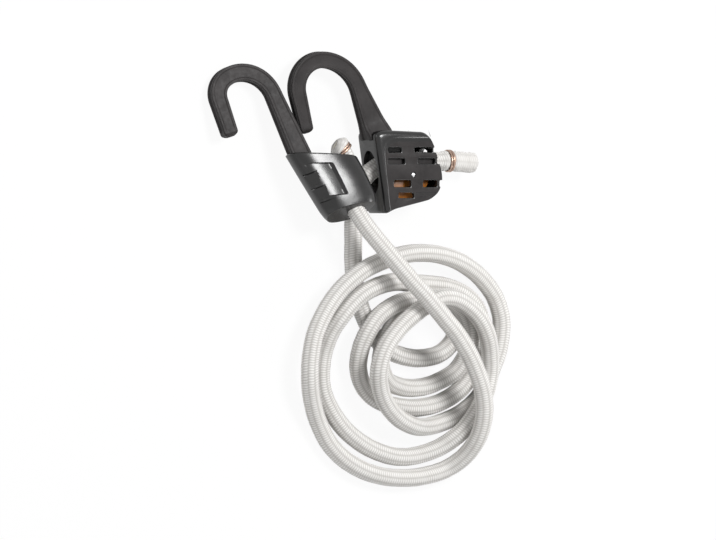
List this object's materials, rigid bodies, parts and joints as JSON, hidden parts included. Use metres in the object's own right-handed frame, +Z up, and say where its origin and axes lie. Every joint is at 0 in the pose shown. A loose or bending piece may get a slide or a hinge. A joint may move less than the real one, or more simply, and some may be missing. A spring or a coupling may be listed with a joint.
{
  "type": "adjustable bungee cord",
  "caption": "Braided elastic cord laid in loose loops, with moulded hooks at its ends. A toothed cam lets a hook be set anywhere along the cord.",
  "frame": {"origin": "under the middle of the two hooks, on the surface that the cord lies on", "axes": "+Z up from the surface; +X along the cord through the adjuster, towards its cut end; +Y from the loops towards the hooks"},
  "size_m": [0.1633, 0.2062, 0.035],
  "materials": {
    "cord_braid": "ribbed braid of off-white yarn",
    "hook_plastic": "black nylon with a fine spark texture",
    "cam_plastic": "amber plastic",
    "hog_ring": "coppery wire",
    "bright_steel": "bright steel"
  },
  "bodies": {
    "cord": {"cord_coil": "cord_braid", "cord_lead": "cord_braid", "cord_run": "cord_braid", "cord_in_adjuster": "cord_braid", "cord_tail": "cord_braid", "tail_ring": "hog_ring"},
    "adjuster": {"adjuster_hook": "hook_plastic", "cam_pin": "bright_steel", "cam_spring": "bright_steel"},
    "cam": {"adjuster_cam": "cam_plastic"},
    "fixed_end": {"fixed_hook": "hook_plastic", "cord_fixed_end": "cord_braid", "fixed_end_ring": "hog_ring"}
  },
  "joints": [
    {"name": "adjuster_slide", "type": "slide", "parent": "cord", "child": "adjuster", "axis": [1, 0, 0], "range_m": [0, 0.006]},
    {"name": "cam_release", "type": "hinge", "parent": "adjuster", "child": "cam", "pos_m": [0.04388, -0.01739, 0], "axis": [0, 0, -1], "range_deg": [0, 25], "stiffness_Nm_per_rad": 0.02, "springref_deg": -17.19},
    {"name": "fixed_hook_swivel", "type": "hinge", "parent": "cord", "child": "fixed_end", "pos_m": [0.01298, -0.03777, 0.02134], "axis": [-0.5175, 0.8346, -0.189], "range_deg": [0, 70]}
  ]
}
